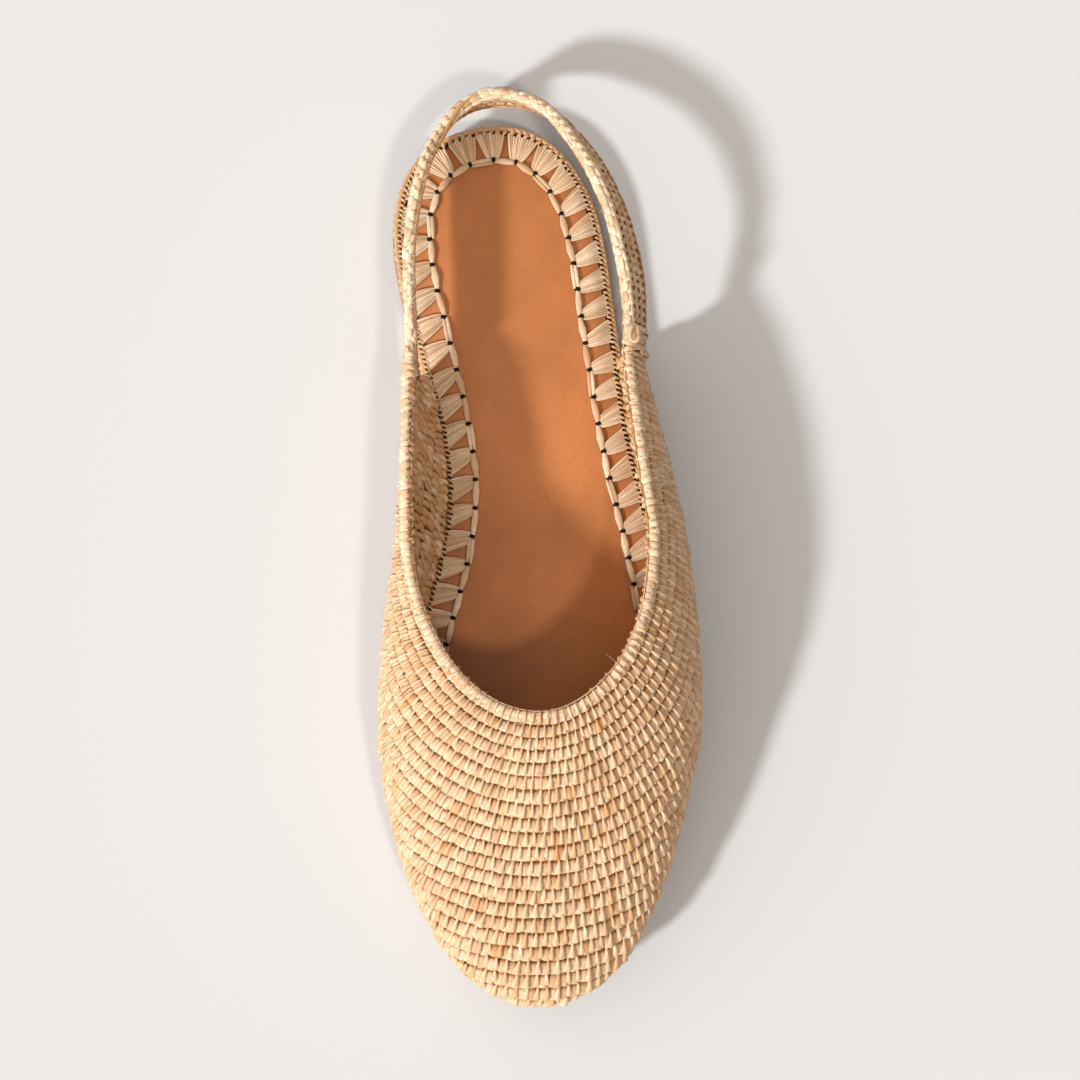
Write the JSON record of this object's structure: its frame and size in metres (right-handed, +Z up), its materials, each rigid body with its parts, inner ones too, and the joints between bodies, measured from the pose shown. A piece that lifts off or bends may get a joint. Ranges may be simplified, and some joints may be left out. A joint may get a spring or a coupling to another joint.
{
  "type": "slingback flat",
  "caption": "Left slingback flat: crocheted raffia upper with a round toe and open heel, thin leather sole with a low heel, and a crocheted strap behind the heel.",
  "frame": {"origin": "middle of the bottom of the shoe's box, on the floor under the arch", "axes": "+Z up, +Y from the toe to the heel, +X to the outer (lateral) side of the left foot"},
  "size_m": [0.0908, 0.2566, 0.0497],
  "materials": {
    "raffia": "crocheted natural raffia, matt with a dry straw sheen",
    "insole_leather": "smooth vegetable-tanned leather, tan, satin",
    "sole_leather": "sole leather, brown, satin, cut edge"
  },
  "bodies": {
    "root": {"outsole": "sole_leather", "heel_lift": "sole_leather", "insole": "insole_leather", "edge_row": "raffia", "upper": "raffia", "heel_strap": "raffia", "strap_wrap_medial": "raffia", "strap_wrap_lateral": "raffia"}
  },
  "joints": []
}
